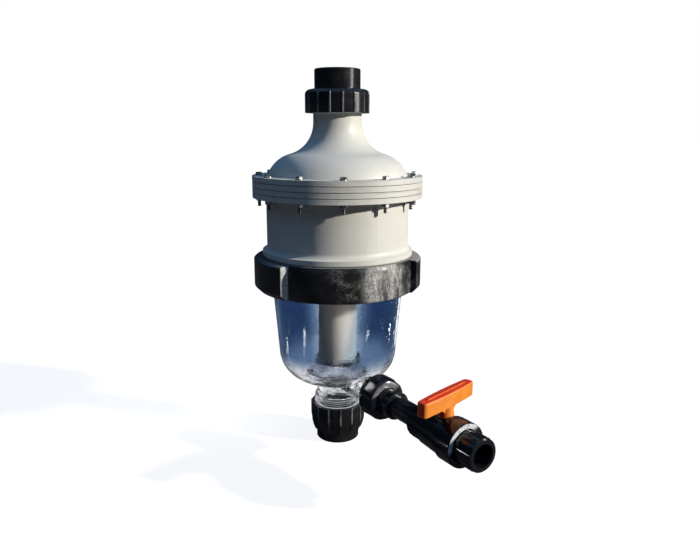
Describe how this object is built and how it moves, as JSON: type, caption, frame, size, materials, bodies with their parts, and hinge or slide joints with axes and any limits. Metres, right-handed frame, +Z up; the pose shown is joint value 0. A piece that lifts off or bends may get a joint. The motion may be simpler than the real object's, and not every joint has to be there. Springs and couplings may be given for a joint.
{
  "type": "centrifugal filter",
  "caption": "In-line centrifugal water filter with a ring of small cyclones under a bolted dome, a clear sediment bowl, pipe unions and a ball-valve drain.",
  "frame": {"origin": "centre of the inlet socket's mouth, on the bottom face of the lower union", "axes": "+Z up the main axis towards the outlet union, +X along the drain line towards the drain outlet"},
  "size_m": [0.505, 0.281, 0.63],
  "materials": {
    "grey_housing": "light warm grey moulding, semi-gloss",
    "black_fitting": "black moulding, glossy",
    "black_ring": "satin black, dusty scuffs",
    "clear_bowl": "clear, slightly blue",
    "steel_fastener": "plain steel",
    "seal_rubber": "matt black rubber",
    "white_seat": "off-white, smooth",
    "orange_handle": "orange moulding, semi-gloss"
  },
  "bodies": {
    "filter_body": {"outlet_union_tail": "black_fitting", "outlet_oring": "seal_rubber", "outlet_dome": "grey_housing", "dome_gasket": "seal_rubber", "vortex_plate": "grey_housing", "pack_gasket": "seal_rubber", "cyclone_pack": "grey_housing", "body_gasket": "seal_rubber", "body_housing": "grey_housing", "flange_bolts": "steel_fastener", "flange_nuts": "steel_fastener", "flange_washers": "steel_fastener", "sediment_bowl": "clear_bowl", "bowl_oring": "seal_rubber", "riser_tube": "grey_housing", "riser_seal": "seal_rubber", "inlet_union_tail": "black_fitting", "inlet_oring": "seal_rubber", "drain_union_tail": "black_fitting", "drain_oring": "seal_rubber", "drain_nipple": "black_fitting", "valve_body": "black_fitting", "valve_end": "black_fitting", "end_oring": "seal_rubber", "inner_seat": "white_seat", "outer_seat": "white_seat"},
    "lock_ring": {"lock_ring": "black_ring"},
    "outlet_nut": {"outlet_union_nut": "black_fitting"},
    "inlet_nut": {"inlet_union_nut": "black_fitting"},
    "drain_nut": {"drain_union_nut": "black_fitting"},
    "valve_nut": {"valve_union_nut": "black_fitting"},
    "handle": {"valve_handle": "orange_handle", "valve_stem": "black_fitting", "stem_oring": "seal_rubber", "valve_ball": "black_fitting"}
  },
  "joints": [
    {"name": "lock_ring_turn", "type": "hinge", "parent": "filter_body", "child": "lock_ring", "pos_m": [0, 0, 0.303], "axis": [0, 0, 1], "continuous": true},
    {"name": "outlet_nut_turn", "type": "hinge", "parent": "filter_body", "child": "outlet_nut", "pos_m": [0, 0, 0.58], "axis": [0, 0, 1], "continuous": true},
    {"name": "inlet_nut_turn", "type": "hinge", "parent": "filter_body", "child": "inlet_nut", "pos_m": [0, 0, 0.041], "axis": [0, 0, 1], "continuous": true},
    {"name": "drain_nut_turn", "type": "hinge", "parent": "filter_body", "child": "drain_nut", "pos_m": [0.135, 0, 0.1183], "axis": [1, 0, 0], "continuous": true},
    {"name": "valve_nut_turn", "type": "hinge", "parent": "filter_body", "child": "valve_nut", "pos_m": [0.32, 0, 0.1183], "axis": [1, 0, 0], "continuous": true},
    {"name": "valve_turn", "type": "hinge", "parent": "filter_body", "child": "handle", "pos_m": [0.288, 0, 0.1183], "axis": [0, 0, 1], "range_deg": [-14.6, 75.4]}
  ]
}
